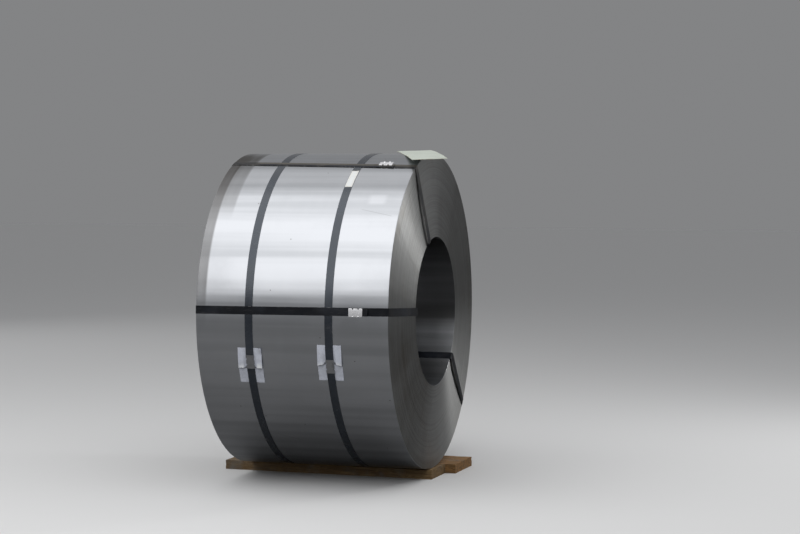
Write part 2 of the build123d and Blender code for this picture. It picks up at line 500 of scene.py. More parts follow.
def marksOnStrip(sheet, marks):
    total = 0.0
    for along, angle, halfLength, halfWidth, softEnds, softSides, strength in marks:
        mask = markAt(sheet, along, angle, (halfLength, halfWidth), (softEnds, softSides))
        total = plus(total, times(mask, strength))
    return total


def setSteel(shader, finish, colour, rough, normal):
    tangent = addNode("Tangent", direction_type="RADIAL", axis="X").outputs[0]
    fill(shader, {"Base Color": colour, "Metallic": 1.0, "Roughness": rough, "Normal": normal,
                  "Anisotropic": finish["anisotropy"], "Anisotropic Rotation": acrossGrain,
                  "Tangent": tangent})


def makeStripSteel(finish):
    material, shader, place = newMaterial("stripSteel")
    spot = onCoil(place)
    bands, waves, streaks = (noiseAt(spot["along"], finish[name]) for name in ("bands", "waves", "streaks"))
    dirt = dirtAt(place, *finish["dirt"])
    cells = addNode("TexVoronoi", {"Vector": spot["sheet"], "Scale": finish["speckScale"]},
                    voronoi_dimensions="2D").outputs["Distance"]
    flaws = spread(cells, *finish["speckSize"], 1.0, 0.0)
    for along, angle, turn, half, width in finish["scratches"]:
        scratch = markAt(spot["sheet"], along, angle, (half, width), (half * 0.3, width * 3), turn)
        flaws = calc("MAXIMUM", flaws, times(scratch, 0.6))
    # oil stains, and painted shade at the top of the left end
    oilAndShade = times(marksOnStrip(spot["sheet"], finish["oilAndShadeMarks"]), spread(streaks, 0.2, 0.65, 0.7, 1.0))
    pale = marksOnStrip(spot["sheet"], finish["paleMarks"])
    # painted shade inside the bore
    boreShade = spread(spot["radius"], *(coil["bore"] + edge for edge in finish["boreEdge"]), 1.0, 0.0)
    upper = plus(spot["upwards"], times(waves, 0.5))
    boreShade = times(boreShade, spread(upper, -0.12, 0.10, 0.1, 0.75))  # painted shade, darkest overhead
    # the colour bands are painted reflection bands
    colour = tint(finish["colour"], finish, (spread(bands, 0.35, 0.65), "reflectionBandAndDirtColour"),
                  (spread(streaks, 0.4, 0.8, 0.0, 0.10), "streakColour"), (dirt, "reflectionBandAndDirtColour"),
                  (boreShade, "boreShadeColour"), (pale, "streakColour"), (oilAndShade, "oilAndShadeColour"), (flaws, "speckColour"))
    rough = spread(streaks, 0.3, 0.7, *finish["roughness"])
    rough = plus(rough, times(plus(dirt, oilAndShade), 0.15))
    setSteel(shader, finish, colour, rough, bump((waves, 0.6, 0.004), (bands, 0.45, 0.002)))
    return material


def makeLapSteel(finish):  # the slit edges of the laps, seen on the ends
    material, shader, place = newMaterial("lapEdges")
    outwards = onCoil(place)["outwards"]
    rings, fineRings, wideRings, fans, rays = (
        noiseAt(outwards, finish[name]) for name in ("rings", "fineRings", "wideRings", "fans", "rays"))
    stained = times(dirtAt(place, *finish["dirt"]), spread(wideRings, 0.4, 0.6))
    colour = tint(finish["colour"], finish, (spread(rings, 0.4, 0.7, 0.0, 0.35), "darkLap"),
                  (spread(fineRings, 0.45, 0.7, 0.0, 0.25), "darkLap"),
                  (spread(fans, 0.45, 0.75, 0.0, 0.5), "darkLap"), (stained, "stain"))
    setSteel(shader, finish, colour, spread(rings, 0.3, 0.7, *finish["roughness"]),
             bump((fineRings, 0.06, 0.0002), (rings, 0.1, 0.0005), (rays, 0.5, 0.0012)))
    return material


stripSteel = makeStripSteel(stripFinish)
lapSteel = makeLapSteel(lapFinish)


def lapShifts():  # how far each lap has slipped along the eye, outermost first
    shifts = []
    for number in range(coil["laps"]):
        drift = ripple(number * 0.21, 3.1, 0.0) * coil["drift"] * 2
        shifts.append(drift + random.uniform(-1, 1) * coil["jitter"])
    return shifts


def coilOutline():  # half section of the coil: down the right end, and up the left end
    pitch = (coil["outside"] - coil["bore"]) / coil["laps"]
    right, left = [], []
    for number, shift in enumerate(lapShifts()):
        top = coil["outside"] - number * pitch
        bottom = top - pitch + coil["slit"]
        offset = endOffset(top) + shift
        if number == 0:
            offset, top = 0.0, top - coil["edge"]
            right.append((halfCoil - coil["edge"], coil["outside"]))
            left.append((-halfCoil + coil["edge"], coil["outside"]))
        slit = bottom - coil["slit"] / 2
        for side, points in ((1, right), (-1, left)):
            face = side * halfCoil + offset
            points += [(face, top), (face, bottom), (face - side * coil["slitDepth"], slit)]
    ends = [(points.pop()[0], coil["bore"]) for points in (right, left)]
    return right + [ends[0], ends[1]] + left[::-1] + [right[0]]


def stepAtOuterEnd(co):  # the lap under the outer end lies one thickness lower, and comes up to it again
    lifted = co.z - coil["axisHeight"]
    radius = hypot(co.y, lifted)
    if radius < coil["outside"] - coil["strip"]:
        return co
    angle = degrees(atan2(lifted, -co.y))
    past = (coil["outerEnd"] - angle) % 360
    stepRound = 360 / coil["turns"]
    drop = coil["strip"] * (1 - ease(past, stepRound, coil["outerEndReach"])) if past > stepRound / 2 else 0.0
    if min(past, 360 - past) < stepRound:  # the two rows beside the end are drawn together to make it sharp
        angle = coil["outerEnd"] - (coil["outerEndWidth"] if past < 180 else -coil["outerEndWidth"])
        drop = coil["strip"] if past < 180 else 0.0
    radius -= drop
    turn = radians(angle)
    return Vector((co.x, -radius * cos(turn), coil["axisHeight"] + radius * sin(turn)))


def makeInnerEnd():  # the last stretch of the innermost lap, standing off the bore
    reach = radians(coil["innerEndReach"]) * coil["bore"]
    piece = gridSheet("innerEnd", coil["width"] - 2 * coil["innerEndInset"], reach, 24, 16)

    def lay(co):
        share = 0.5 - co.y / reach
        uneven = 1 + coil["innerEndRipple"] * ripple(co.x * 4, 0.5, 0)
        standOff = coil["innerEndRise"] * share ** 3 * uneven
        turn = radians(coil["innerEnd"] + coil["innerEndReach"] * (1 - share))
        radius = coil["bore"] - coil["innerEndGap"] - standOff
        along = co.x + endOffset(coil["bore"]) + coil["innerEndSlip"] * share
        return Vector((along, -radius * cos(turn), coil["axisHeight"] + radius * sin(turn)))

    moveVertices(piece, lay)
    modify(piece, "SOLIDIFY", thickness=coil["strip"], offset=0.0)
    return piece


def makeCoil():
    piece = drawChain("woundStrip", coilOutline())
    pick(piece, lambda co: True, "VERT")
    bpy.ops.mesh.spin(steps=coil["turns"], angle=2 * pi, use_auto_merge=True, center=(0, 0, 0),
                      axis=(1, 0, 0))
    backToObject()
    closeShell(piece)
    layOnCoil(piece, 90)
    moveVertices(piece, stepAtOuterEnd)
    piece = joinPieces([piece, makeInnerEnd()])
    piece.name = "woundStrip"
    finishPiece(piece, "coil", [stripSteel, lapSteel])
    inner, outer = coil["bore"] + coil["slit"], coil["outside"] - coil["edge"]
    for face in piece.data.polygons:
        radius = hypot(face.center.y, face.center.z - coil["axisHeight"])
        if inner < radius < outer:
            face.material_index = 1


makeCoil()

# ---- strapping

strap = {
    "width": 0.032,
    "thickness": 0.0009,
    "gap": 0.0001,
    "edge": 0.00015,         # rounding of its edges
    "wander": 0.0006,        # how far it strays sideways as it goes round
    "bellyLeft": -0.173,
    "bellyRight": 0.153,
    "bellyLeftSeal": -14.7,  # angles of the seals
    "bellyRightSeal": -15.6,
    "cutEnd": 0.012,         # past the seal
    "laidDown": 0.02,        # length over which the upper layer comes down to the coil
    "liftOff": 0.028,        # and the strap, past a pad
    "padClear": 0.0002,
    "steps": (4, 440),
    "colour": (0.008, 0.009, 0.012, 1),
    "rubbed": (0.020, 0.023, 0.030, 1),
    "bareSteel": (0.42, 0.42, 0.43, 1),
    "dust": (0.15, 0.135, 0.115, 1),
    "roughness": (0.32, 0.50),
    "sheen": (1, 1, 1, 1),
    "rubs": (6.0, 6.0, 6.0, 5.0, 0.65),
    # paler upper half of the top strap: partly dust, partly painted reflection
    "topDustAndReflection": (0.085, 0.079, 0.070, 1),
}
halfStrap = strap["width"] / 2
pad = {
    "width": 0.098,
    "length": 0.143,
    "thickness": 0.0005,
    "slit": 0.003,           # from the strap's edge to where the leaf starts to lift
    "ramp": 0.010,
    "flare": 0.009,
    "tuck": 0.004,
    "pinch": 0.001,          # that the strap presses out of the tuck
    "lipShare": 0.46,        # of the sheet, down to the lip and to the crease
    "rootShare": 0.56,
    "belly": 0.0012,         # of the lower leaf, and how far its end lifts
    "lift": 0.002,
    "fibres": (300.0, 300.0, 60.0, 3.0, 0.7),
    "colour": (0.60, 0.63, 0.72, 1),
    "paler": (0.68, 0.71, 0.79, 1),
    "soiled": (0.42, 0.43, 0.47, 1),
    # painted highlight on the pad's lip
    "lipHighlightColour": (0.92, 0.94, 0.97, 1),
    # painted shadow in the crease under the lip
    "creaseShadowColour": (0.08, 0.08, 0.09, 1),
    "left": {"angle": -16.1, "crease": -16.8, "vee": 0.0, "curl": 0.006},
    "right": {"angle": -14.4, "crease": -14.6, "vee": 0.011, "curl": 0.002},
}
seal = {
    "length": 0.055,
    "wall": 0.0008,
    "fold": 0.0012,
    "notchPitch": 0.022,
    "notchLength": 0.008,
    "notchDepth": 0.0045,
    "notchTaper": 0.6,
    "flap": 0.0040,          # what was cut, bent out of the notches: its reach, width and roots
    "flapWidth": 0.58,
    "flapRoots": {True: 0.72, False: 0.35},
    "flapEdge": 0.0002,
    "flapSeat": 0.0003,
    "crown": 0.0009,
    "deepest": 0.0006,       # dent
}


def makeStrapPaint(name, finish, dusty, gloss, dustAndReflectionOnTop=False):
    material, shader, place = newMaterial(name)
    spot = onCoil(place)
    across = stored("across")
    worn = wornAt(calc("ABSOLUTE", across), place, 120.0, 1.0)
    marks = useGroup(scratches, {"Vector": spot["path"], "Scale": 8.0, "Turn": 0.12, "Amount": 0.22})["Mask"]
    rubs = noiseAt(place, finish["rubs"])
    dust = dirtAt(place, 14.0, dusty)
    colour = tint(finish["colour"], finish, (spread(rubs, 0.4, 0.7), "rubbed"))
    if dustAndReflectionOnTop:  # on the upper half of its width, where it crosses the coil, and less at the left: partly dust, partly painted reflection
        upper = times(spread(across, -0.25, 0.2), spread(spot["radius"], 0.62, 0.644))
        upper = times(upper, spread(spot["alongEye"], -0.30, -0.27, 0.25, 1.0))
        colour = tint(colour, finish, (upper, "topDustAndReflection"))
    colour = tint(colour, finish, (dust, "dust"), (calc("MAXIMUM", worn, marks), "bareSteel"))
    rough = plus(spread(rubs, 0.3, 0.7, *finish["roughness"]), times(dust, 0.3))
    fill(shader, {"Base Color": colour, "Roughness": rough, "Normal": bump((rubs, 0.08, 0.0005)),
                  "Metallic": times(worn, 0.9), "Specular IOR Level": gloss,
                  "Specular Tint": finish["sheen"]})
    return material


slate = {**strap, "colour": (0.009, 0.012, 0.018, 1), "rubbed": (0.018, 0.023, 0.033, 1),
         "roughness": (0.20, 0.30), "sheen": (0.84, 0.91, 1.0, 1)}
bellyPaint = makeStrapPaint("bellyStrapPaint", slate, 0.10, 1.0)
eyePaint = makeStrapPaint("eyeStrapPaint", strap, 0.08, 0.15)
topPaint = makeStrapPaint("topStrapPaint", strap, 0.3, 0.15, dustAndReflectionOnTop=True)


def notchCutters(sealFloor, lengthways):  # four tapered bites out of a seal and the strap inside it
    cutters = []
    mouth = seal["notchDepth"] * 2
    edge = halfStrap + seal["wall"] + mouth / 2 - seal["notchDepth"]
    for side in (-1, 1):
        for end in (-1, 1):
            centre = (end * seal["notchPitch"] / 2, side * edge, sealFloor)
            cutter = block("cutter", (seal["notchLength"], mouth, 0.02), centre)
            edit(cutter, lambda centre, normal: normal.y * side < -0.9, "FACE",
                 bpy.ops.transform.resize, value=(seal["notchTaper"], 1, 1))
            cutters.append(cutter)
    cutter = joinPieces(cutters)
    if lengthways:
        cutter.rotation_euler.z = radians(90)
        applyPlace()
    return cutter


def cutWith(piece, cutter, shift=(0, 0, 0)):
    activate(cutter)
    cutter.location = shift
    applyPlace()
    modify(piece, "BOOLEAN", operation="DIFFERENCE", object=cutter, solver="EXACT")
    bpy.data.objects.remove(cutter)


def thicken(piece, thickness, edge, segments):  # a sheet, with its edges rounded
    modify(piece, "SOLIDIFY", thickness=thickness, offset=1.0)
    modify(piece, "BEVEL", width=edge, segments=segments, limit_method="ANGLE", angle_limit=radians(50))


def bellyHeight(turn, padLead):  # of the strap's underside, at a distance past the seal's middle
    padTop = strap["gap"] + pad["thickness"] + strap["gap"]
    inSeal = padTop + strap["gap"] + seal["wall"]
    half = seal["length"] / 2 + strap["gap"]
    low, high = padLead - pad["length"] / 2, padLead + pad["length"] / 2
    padTop += strap["padClear"]
    knots = [(low - strap["liftOff"], strap["gap"]), (low, padTop), (-half, inSeal), (half, inSeal),
             (high, padTop), (high + strap["liftOff"], strap["gap"])]
    return alongKnots(turn, knots)


def makeBellyStrap(name, node, along, sealAngle, padAngle):
    around = 2 * pi * coil["outside"]
    layer = strap["thickness"] + strap["gap"]
    topEnd = -seal["length"] / 2 - strap["cutEnd"]
    underEnd = around + seal["length"] / 2 + strap["cutEnd"] / 2
    overlap = seal["length"] / 2 + strap["cutEnd"]
    padLead = radians(padAngle - sealAngle) * coil["outside"]
    piece = gridSheet(name, strap["width"], underEnd - topEnd, *strap["steps"])
    moveVertices(piece, lambda co: co + Vector((0, (underEnd + topEnd) / 2, 0)))

    def lay(co):  # one turn and a bit: the first end lies on top of the last one
        turn = co.y if co.y < around / 2 else co.y - around
        height = bellyHeight(turn, padLead)
        if co.y < around / 2:
            height += layer * (1 - ease(co.y, overlap, overlap + strap["laidDown"]))
        stray = ripple(co.y * 1.3, along * 40, 0) * strap["wander"] * 2
        return Vector((co.x + stray * ease(abs(turn), 0.06, 0.3), co.y, height))

    moveVertices(piece, lay)
    thicken(piece, strap["thickness"], strap["edge"], 1)
    store(piece, "across", lambda co: co.x / halfStrap)
    wrapRound(piece)
    cutWith(piece, notchCutters(coil["outside"], lengthways=True))
    layOnCoil(piece, sealAngle, along)
    finishPiece(piece, node, [bellyPaint])


for side in ("left", "right"):
    here = "belly" + side.title()
    makeBellyStrap("bellyStrap" + side.title(), "belly_strap_" + side, strap[here], strap[here + "Seal"],
                   pad[side]["angle"])

eyeStrap = {
    "lift": 0.0011,          # over the belly straps
    "sealX": 0.262,
    "cornerRadius": 0.0025,
    "bendRadius": 0.007,     # round the edge of the bore
    "standOff": 0.0075,
    "faceGap": 0.0009,       # off the slipped laps
    "comesDown": (0.008, 0.03),  # past its seal, from both layers to the coil
    "opening": (0.002, 0.006),   # of the lower layer, out of its seal
    "tail": ((1.0, 1.0), (0.7, 0.75), (0.35, 0.28)),  # shares of its length and of its lift
    "tailTwist": 0.45,
    "front": {"angle": 3.4, "skew": 0.2, "liftedEnd": 0.023, "liftedHeight": 0.009},
    "top": {"angle": 68.0, "skew": -1.4, "liftedEnd": 0.012, "liftedHeight": 0.0012},
    "rear": {"angle": -138.5, "skew": 0.3, "liftedEnd": 0.012, "liftedHeight": 0.0004},
}


def eyeOutline(place):  # along the strap's underside, from its upper end once round to its lower end
    face = halfCoil + eyeStrap["faceGap"]
    seat = coil["outside"] + strap["gap"]
    overBelly = coil["outside"] + eyeStrap["lift"]
    inSeal = seat + seal["wall"] + strap["gap"]
    onTop = inSeal + strap["thickness"] + strap["gap"]
    start, end = (eyeStrap["sealX"] + side * seal["length"] / 2 for side in (-1, 1))
    run = sqrt((coil["bore"] - strap["gap"]) ** 2 - halfStrap ** 2)
    bend = halfCoil + coil["telescope"] + eyeStrap["standOff"]
    tail = [(end + place["liftedEnd"] * length, onTop + place["liftedHeight"] * lift)
            for length, lift in eyeStrap["tail"]]
    down, flat = eyeStrap["comesDown"]
    after, before = eyeStrap["opening"]
    return tail + [
        (end, onTop), (start - down, onTop), (start - flat, overBelly),
        (strap["bellyLeft"] - halfStrap, overBelly), (-face, seat), (-face, run),
        (bend, run), (face, seat), (end + after, inSeal), (start - before, inSeal),
    ]


def makeEyeStrap(name, node, place, paint):
    piece = drawChain(name, eyeOutline(place))
    edit(piece, lambda co: abs(co.x) > halfCoil and co.z < coil["bore"], "VERT",
         bpy.ops.mesh.bevel, offset=eyeStrap["bendRadius"], segments=6, affect="VERTICES")
    edit(piece, lambda co: abs(co.x) > halfCoil and co.z > coil["outside"], "VERT",
         bpy.ops.mesh.bevel, offset=eyeStrap["cornerRadius"], segments=3, affect="VERTICES")
    subdivideWhere(piece, lambda first, last: (first - last).length > 0.1, 12)
    pick(piece, lambda co: True, "VERT")
    bpy.ops.transform.translate(value=(0, -halfStrap, 0))
    for step in range(4):
        bpy.ops.mesh.extrude_region_move(TRANSFORM_OT_translate={"value": (0, strap["width"] / 4, 0)})
    bpy.ops.mesh.select_all(action="SELECT")
    bpy.ops.mesh.normals_make_consistent(inside=False)
    backToObject()
    highest = max(piece.data.polygons, key=lambda face: face.center.z if abs(face.center.x) < 0.1 else -1)
    if highest.normal.z < 0:
        edit(piece, lambda centre, normal: True, "FACE", bpy.ops.mesh.flip_normals)
    thicken(piece, strap["thickness"], strap["edge"], 1)
    store(piece, "across", lambda co: co.y / halfStrap)
    cutWith(piece, notchCutters(coil["outside"], lengthways=False), (eyeStrap["sealX"], 0, 0))

    sealEnd = eyeStrap["sealX"] + seal["length"] / 2
    tailHeight = coil["outside"] + 2 * strap["thickness"]

    def skewed(co):
        angle = radians(place["skew"]) * max(-1.0, min(1.0, co.x / halfCoil))
        if co.z > tailHeight:
            bend = ease(co.x, sealEnd, sealEnd + place["liftedEnd"]) * place["liftedHeight"]
            co = Vector((co.x, co.y, co.z - eyeStrap["tailTwist"] * bend * co.y / halfStrap))
        return Vector((co.x, co.y * cos(angle) + co.z * sin(angle),
                       co.z * cos(angle) - co.y * sin(angle)))

    moveVertices(piece, skewed)
    layOnCoil(piece, place["angle"])
    finishPiece(piece, node, [paint])


for side, paint in (("front", eyePaint), ("top", topPaint), ("rear", eyePaint)):
    makeEyeStrap("eyeStrap" + side.title(), "eye_strap_" + side, eyeStrap[side], paint)


# ---- crimped seals

def makeZinc(name, colour, dark, metal, rough):
    material, shader, place = newMaterial(name)
    spangle = addNode("TexVoronoi", {"Vector": place, "Scale": 420.0}).outputs["Color"]
    cells = addNode("SeparateColor", {0: spangle}).outputs[0]
    dirt = dirtAt(place, 60.0, 0.45)
    shaded = mix(spread(cells, 0.0, 1.0, 0.0, 0.15), colour, dark)
    shaded = mix(dirt, shaded, dark)
    rough = plus(spread(cells, 0.0, 1.0, rough, rough + 0.08), times(dirt, 0.2))
    fill(shader, {"Base Color": shaded, "Metallic": metal, "Roughness": rough,
                  "Normal": bump((dirt, 0.1, 0.0001))})
    return material


# two copies of one seal zinc: the eye seals' near-white copy is a painted highlight, the belly seals' darker
# copy is painted shade
sealZincPaintedLit = makeZinc("sealZincPaintedLit", (0.88, 0.88, 0.90, 1), (0.42, 0.42, 0.43, 1), 0.45, 0.22)
sealZincPaintedShade = makeZinc("sealZincPaintedShade", (0.36, 0.365, 0.38, 1), (0.12, 0.12, 0.125, 1), 0.85, 0.36)


def makeSeal(name, node, floor, flaps, along, angle, lengthways, finish, dents):
    inside = 2 * strap["thickness"] + 2 * strap["gap"]
    height = inside + 2 * seal["wall"]
    width = strap["width"] + 2 * strap["gap"] + 2 * seal["wall"]
    piece = block(name, (seal["length"], width, height), (0, 0, height / 2))
    edit(piece, lambda centre, normal: abs(normal.x) > 0.9, "FACE", bpy.ops.mesh.delete, type="FACE")
    edit(piece, lambda first, last: abs(first.x - last.x) > 0.01, "EDGE",
         bpy.ops.mesh.bevel, offset=seal["fold"], segments=4)
    for axis, cuts in ((0, 14), (1, 9)):
        subdivideWhere(piece, lambda first, last: abs(first[axis] - last[axis]) > 0.01, cuts)
    modify(piece, "SOLIDIFY", thickness=seal["wall"], offset=-1.0)
    closeShell(piece)
    cutWith(piece, notchCutters(0.0, lengthways=False))
    root = width / 2 - seal["notchDepth"]
    tabs = [piece]
    for side, tilt in zip((-1, 1), flaps):  # up or down
        rootHeight = height * seal["flapRoots"][tilt > 0]
        reach = seal["flap"] if tilt > 0 else rootHeight / sin(radians(-tilt))
        for end in (-1, 1):
            size = (seal["notchLength"] * seal["flapWidth"], reach, seal["wall"])
            tab = block("tab", size, (0, reach / 2, 0))
            edit(tab, lambda centre, normal: normal.y > 0.9, "FACE",
                 bpy.ops.transform.resize, value=(1.3, 1, 0.7))
            modify(tab, "BEVEL", width=seal["flapEdge"], segments=1)
            tab.rotation_euler = (radians(tilt), 0, 0 if side > 0 else pi)
            tab.location = (end * seal["notchPitch"] / 2, side * (root - seal["flapSeat"]), rootHeight)
            applyPlace()
            tabs.append(tab)
    piece = joinPieces(tabs)

    def dented(co):  # crowned over the straps, and pressed unevenly
        if co.z < height / 2:
            return co
        press = ripple(co.x * 55, co.y * 45, angle) * dents
        crown = seal["crown"] * max(0.0, 1 - (co.y / (width / 2)) ** 2)
        return co + Vector((0, 0, crown + min(press, seal["deepest"])))

    moveVertices(piece, dented)
    if lengthways:
        piece.rotation_euler.z = radians(90)
    piece.location.z = coil["outside"] + floor
    applyPlace()
    layOnCoil(piece, angle, along)
    piece.name = name
    finishPiece(piece, node, [finish], smooth=40)


padFloor = 2 * strap["gap"] + pad["thickness"]
for side in ("left", "right"):
    here = "belly" + side.title()
    makeSeal("bellySeal" + side.title(), "belly_seal_" + side, padFloor, (-35, -35), strap[here],
             strap[here + "Seal"], True, sealZincPaintedShade, 0.0002)
for side, flaps, dents in (("front", (40, -35), 0.0002), ("top", (60, 50), 0.0006),
                           ("rear", (40, -35), 0.0002)):
    place = eyeStrap[side]
    sealAngle = place["angle"] - place["skew"] * eyeStrap["sealX"] / halfCoil
    makeSeal("eyeSeal" + side.title(), "eye_seal_" + side, strap["gap"], flaps, eyeStrap["sealX"], sealAngle,
             False, sealZincPaintedLit, dents)


# ---- creased sheets under the belly seals

def makePadSheet():
    material, shader, place = newMaterial("padSheet")
    fibres = noiseAt(place, pad["fibres"])
    colour = tint(pad["colour"], pad, (spread(fibres, 0.3, 0.7), "paler"),
                  (dirtAt(place, 30.0, 0.5), "soiled"), (stored("fold"), "lipHighlightColour"),
                  (stored("crease"), "creaseShadowColour"))
    fill(shader, {"Base Color": colour, "Normal": bump((fibres, 0.15, 0.0003)),
                  "Roughness": spread(fibres, 0.3, 0.7, 0.42, 0.58)})
    return material


padSheet = makePadSheet()


def makePad(name, node, along, place):
    piece = gridSheet(name, pad["width"], 1.0, 28, 44)  # Y is a share of the sheet until it is laid
    upper = pad["length"] / 2
    creaseAt = radians(place["crease"] - place["angle"]) * coil["outside"]
    clear = halfStrap + pad["slit"]

    def creaseLine(x):
        return creaseAt - place["vee"] * (abs(x) - halfStrap) / (pad["width"] / 2)

    def lay(co):
        down = 0.5 - co.y
        loose = ease(abs(co.x), clear, clear + pad["ramp"])
        crease = creaseLine(co.x)
        lipShare, rootShare = pad["lipShare"], pad["rootShare"]
        pinch = pad["pinch"] * (1 - loose)
        rise = pad["flare"] * loose * (1 + 0.25 * ripple(co.x * 30, along * 9, 0))
        if down < lipShare:  # the upper leaf, standing off more and more
            share = down / lipShare
            y = upper + (crease - upper) * share
            z = rise * share ** 1.15
            corner = ease(co.x, clear, pad["width"] / 2) * (1 - ease(share, 0.0, 0.35))
            z += place["curl"] * corner
        elif down < rootShare:  # folds back under itself to the crease
            share = (down - lipShare) / (rootShare - lipShare)
            y = crease + (pad["tuck"] * loose - pinch) * share
            z = rise * (1 - ease(share, 0.0, 1.0))
        else:
            share = (down - rootShare) / (1 - rootShare)
            root = crease + pad["tuck"] * loose - pinch
            y = root + (-upper - root) * share
            z = (pad["belly"] * sin(share * pi) + pad["lift"] * ease(share, 0.75, 1.0)) * loose
        return Vector((co.x * (1 + 0.02 * (y < crease)), y, strap["gap"] + z))

    # painted shadow in the tuck under the lip
    def paintedCreaseShadow(co):
        past = co.y - creaseLine(co.x)
        if past > pad["tuck"] * 1.2:
            return 0.0
        low = 1 - ease(co.z, 0.0015, 0.004)
        return ease(past, -0.005, 0.0) * low * ease(abs(co.x), clear - 0.004, clear)

    moveVertices(piece, lay)
    modify(piece, "SOLIDIFY", thickness=pad["thickness"], offset=0.0)
    # painted highlight: the lip, where the upper leaf stands off most, is painted near white
    store(piece, "fold", lambda co: ease(co.z, pad["flare"] * 0.75, pad["flare"] * 1.1))
    # painted shadow in the crease
    store(piece, "crease", paintedCreaseShadow)
    moveVertices(piece, lambda co: co + Vector((0, 0, pad["thickness"] / 2)))
    wrapRound(piece)
    layOnCoil(piece, place["angle"], along)
    finishPiece(piece, node, [padSheet], smooth=35)


for side in ("left", "right"):
    makePad("sealPad" + side.title(), "seal_pad_" + side, strap["belly" + side.title()], pad[side])

# ---- blank label on the right belly strap

label = {
    "width": 0.030,
    "length": 0.117,
    "thickness": 0.0003,
    "angle": 57.8,
    "colour": (0.74, 0.76, 0.76, 1),
    "soiled": (0.56, 0.56, 0.54, 1),
    "outlineColour": (0.70, 0.63, 0.50, 1),
    "inset": 0.0035,
    "outline": 0.0010,
    "seat": 0.00005,
    "cornerLift": 0.0011,
    "pucker": 0.00008,
    "fibres": (500.0, 500.0, 500.0, 2.0, 0.5),
}


def makeLabelPaper():
    material, shader, place = newMaterial("labelPaper")
    fibres = noiseAt(place, label["fibres"])
    sheet = onCoil(place)["sheet"]
    frames = []
    for inset in (label["inset"], label["inset"] + label["outline"]):
        half = label["width"] / 2 - inset, label["length"] / 2 - inset
        soft = label["outline"] / 2, label["outline"] / 2
        frames.append(markAt(sheet, strap["bellyRight"], label["angle"], half, soft))
    worn = wornAt(stored("edge"), place, 150.0, 0.88)
    colour = tint(label["colour"], label, (dirtAt(place, 26.0, 0.6), "soiled"), (worn, "soiled"),
                  (calc("SUBTRACT", *frames), "outlineColour"))
    fill(shader, {"Base Color": colour, "Roughness": 0.55,
                  "Normal": bump((fibres, 0.1, 0.0002))})
    return material


def makeLabel():
    piece = gridSheet("strapLabel", label["width"], label["length"], 8, 26)
    base = strap["gap"] + strap["thickness"] + label["seat"]

    def lay(co):  # stuck down, with one corner and the edges a little loose
        corner = ease(co.x, 0.004, 0.015) * ease(co.y, 0.035, 0.0585)
        pucker = label["pucker"] * abs(noise.noise(co * 80))
        return Vector((co.x, co.y, base + label["cornerLift"] * corner + pucker))

    moveVertices(piece, lay)
    modify(piece, "SOLIDIFY", thickness=label["thickness"], offset=1.0)
    storeEdge(piece, (label["width"], label["length"]))
    wrapRound(piece)
    layOnCoil(piece, label["angle"], strap["bellyRight"])
    finishPiece(piece, "strap_label", [makeLabelPaper()])


makeLabel()

# ---- stiff card on the top of the right end

card = {
    "length": 0.420,
    "width": 0.143,
    "thickness": 0.002,
    "along": 0.359,
    "tilt": 5.2,
    "turn": 114.5,
    "sag": 0.005,            # of its free corners
    "wave": 0.0012,
    "edge": 0.0004,
    "fibres": (220.0, 220.0, 220.0, 4.0, 0.7),
    "colour": (0.52, 0.56, 0.50, 1),
    "soiled": (0.40, 0.43, 0.38, 1),
    "edgeColour": (0.40, 0.38, 0.30, 1),
}


def makeCardBoard():
    material, shader, place = newMaterial("cardBoard")
    fibres = noiseAt(place, card["fibres"])
    worn = wornAt(stored("edge"), place, 60.0, 0.95)
    colour = tint(card["colour"], card, (dirtAt(place, 12.0, 0.45), "soiled"), (worn, "edgeColour"))
    fill(shader, {"Base Color": colour, "Roughness": 0.6, "Normal": bump((fibres, 0.2, 0.0004))})
    return material


def makeCard():
    piece = gridSheet("edgeCard", card["length"], card["width"], 30, 12)
    thicken(piece, card["thickness"], card["edge"], 2)
    storeEdge(piece, (card["length"], card["width"]))

    def sagged(co):
        reach = abs(co.x) / (card["length"] / 2)
        wave = ripple(co.x * 9, co.y * 9, 2.0) * card["wave"] * ease(reach, 0.3, 1.0)
        return co + Vector((0, 0, wave - card["sag"] * ease(reach, 0.35, 1.3)))

    moveVertices(piece, sagged)
    piece.rotation_euler.z = radians(card["turn"])
    piece.location = (card["along"], 0, coil["outside"] + strap["gap"])
    applyPlace()
    layOnCoil(piece, 90 - card["tilt"])
    finishPiece(piece, "edge_card", [makeCardBoard()])


makeCard()

# ---- boards

boards = {
    "thickness": 0.038,
    "length": 0.914,
    "turn": -2.5,
    "joint": 0.0003,
    "frontEdge": -0.052,
    "front": {"width": 0.184, "rightEnd": 0.408, "seed": 1.0, "colour": (0.27, 0.18, 0.082, 1)},
    "rear": {"width": 0.235, "rightEnd": 0.452, "seed": 5.0, "colour": (0.38, 0.20, 0.070, 1)},
    "saw": 0.0006,           # roughness of the sawn faces
    "wane": 0.004,           # chipped off the long edges
    "broken": 0.004,         # off the ends
    "cuts": (90, 14, 3),
    "dark": (0.125, 0.074, 0.035, 1),
    "knot": (0.08, 0.043, 0.018, 1),
    "grey": (0.165, 0.15, 0.13, 1),
    "wave": (1.2, 9.0, 16.0, 3.0, 0.5),
    "grain": (3.0, 70.0, 70.0, 5.0, 0.65),
    "rings": (0.5, 16.0, 16.0, 2.0, 0.5),
    "fibre": (30.0, 900.0, 900.0, 2.0, 0.5),
    "sawn": (420.0, 12.0, 3.0, 2.0, 0.5),
    "knots": (3.0, 3.0, 3.0, 3.0, 0.5),
}


